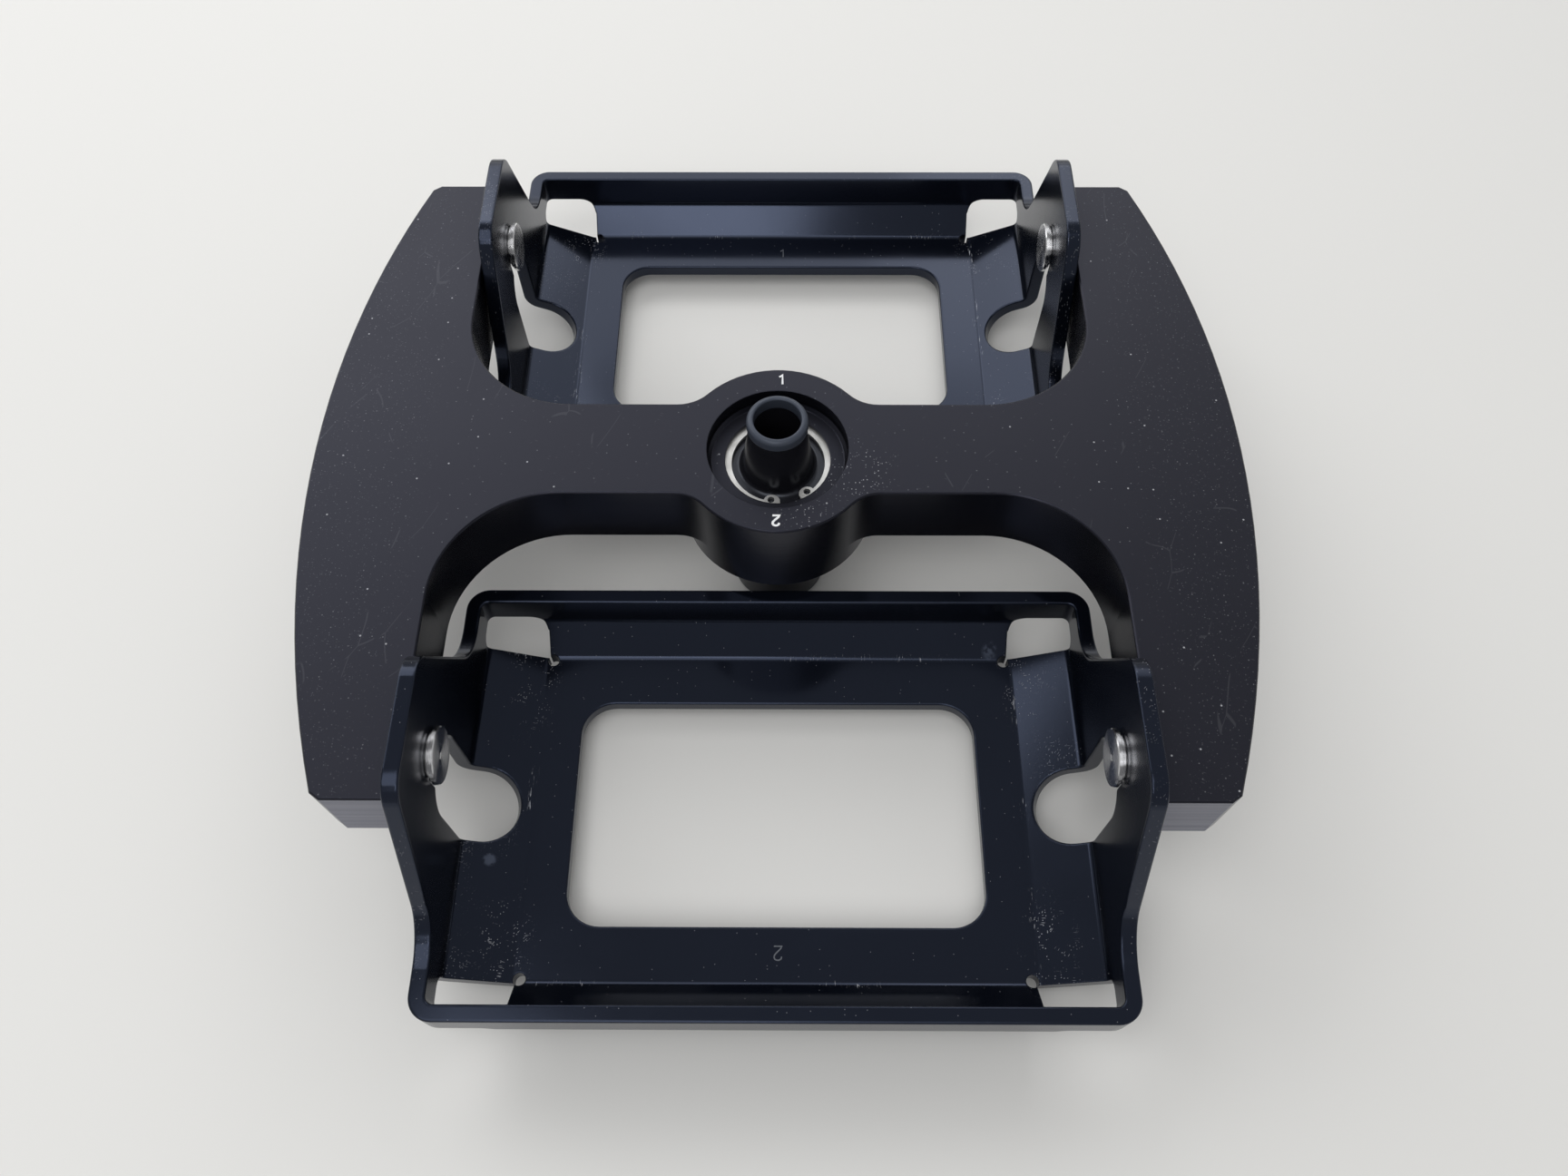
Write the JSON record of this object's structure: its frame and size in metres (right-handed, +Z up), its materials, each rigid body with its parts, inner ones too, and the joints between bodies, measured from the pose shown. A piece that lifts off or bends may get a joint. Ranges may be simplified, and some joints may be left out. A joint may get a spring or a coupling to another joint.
{
  "type": "swing-out rotor",
  "caption": "Centrifuge swing-out rotor: a black anodised yoke with a central hub and folded sheet carriers for microplates that swing outwards on trunnion pins.",
  "frame": {"origin": "middle of the hub's lower face, which the rotor stands on and which is also the middle of the object's base", "axes": "+Z up the shaft axis, +X along the trunnion pins, +Y towards carrier 1; carrier 2 is on the -Y side"},
  "size_m": [0.242, 0.276, 0.0723],
  "materials": {
    "yoke": "satin black anodised",
    "hub": "satin black anodised",
    "sleeve": "satin black anodised",
    "ring": "dark spring steel",
    "pins": "turned bright",
    "carriers": "glossy black anodised"
  },
  "bodies": {
    "yoke": {"rotor_yoke": "yoke", "drive_hub": "hub", "retaining_ring": "ring", "trunnion_pin_1_left": "pins", "trunnion_pin_1_right": "pins", "trunnion_pin_2_left": "pins", "trunnion_pin_2_right": "pins"},
    "carrier_1": {"plate_carrier_1": "carriers"},
    "carrier_2": {"plate_carrier_2": "carriers"},
    "sleeve": {"clamping_sleeve": "sleeve"}
  },
  "joints": [
    {"name": "carrier_1_swing", "type": "hinge", "parent": "yoke", "child": "carrier_1", "pos_m": [0, 0.0815, 0.0495], "axis": [1, 0, 0], "range_deg": [-3, 90]},
    {"name": "carrier_2_swing", "type": "hinge", "parent": "yoke", "child": "carrier_2", "pos_m": [0, -0.0815, 0.0495], "axis": [-1, 0, 0], "range_deg": [-3, 90]},
    {"name": "sleeve_turn", "type": "hinge", "parent": "yoke", "child": "sleeve", "pos_m": [0, 0, 0.05], "axis": [0, 0, 1], "continuous": true}
  ]
}
